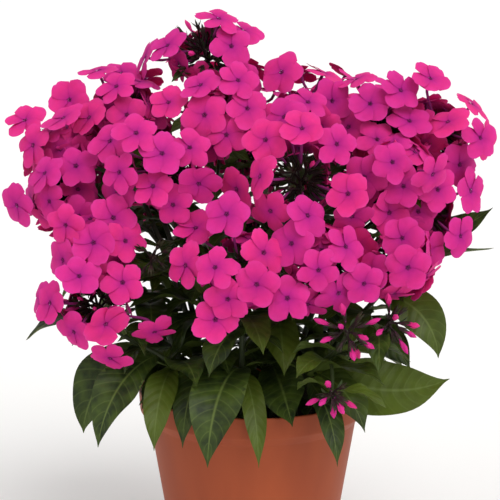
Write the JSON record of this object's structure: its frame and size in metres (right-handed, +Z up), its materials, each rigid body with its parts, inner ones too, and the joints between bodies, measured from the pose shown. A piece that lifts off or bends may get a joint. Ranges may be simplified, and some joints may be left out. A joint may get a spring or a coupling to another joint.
{
  "type": "phlox plant",
  "caption": "Garden phlox in full bloom with domed magenta flower heads, dark leaves and bud sprays, growing in a plain round pot.",
  "frame": {"origin": "centre of the pot's flat underside", "axes": "+Z up, +X to the right as seen from the front, -Y towards the viewer of the front"},
  "size_m": [0.3776, 0.3063, 0.4512],
  "materials": {
    "petals": "satin",
    "buds": "satin",
    "leaves": "satin",
    "pot_plastic": "satin",
    "soil": "matte"
  },
  "bodies": {
    "root": {"buds_drooping": "buds", "buds_far_right": "buds", "buds_right": "buds", "calyxes_left": "leaves", "head_centre_left": "petals", "head_centre_top": "petals", "head_crown": "petals", "head_crown_right": "petals", "head_dome": "petals", "head_dome_low": "petals", "head_front": "petals", "head_left": "petals", "head_left_low": "petals", "head_left_shoulder": "petals", "head_left_top": "petals", "head_low_left": "petals", "head_rear_left": "petals", "head_rear_left_high": "petals", "head_rear_low": "petals", "head_rear_low_left": "petals", "head_rear_low_right": "petals", "head_rear_middle": "petals", "head_rear_right": "petals", "head_rear_right_high": "petals", "head_rear_right_top": "petals", "head_rear_side": "petals", "head_rear_top": "petals", "head_right": "petals", "head_right_low": "petals", "head_right_mid": "petals", "head_right_top": "petals", "head_side_left": "petals", "head_top": "petals", "pot": "pot_plastic", "soil": "soil", "stem_buds": "leaves", "stem_centre_left": "leaves", "stem_crown": "leaves", "stem_crown_right": "leaves", "stem_dome": "leaves", "stem_front": "leaves", "stem_left": "leaves", "stem_left_top": "leaves", "stem_low_left": "leaves", "stem_rear_left": "leaves", "stem_rear_low": "leaves", "stem_rear_right": "leaves", "stem_rear_right_high": "leaves", "stem_rear_top": "leaves", "stem_right": "leaves", "stem_right_top": "leaves", "stem_side_left": "leaves", "stem_top": "leaves"}
  },
  "joints": []
}
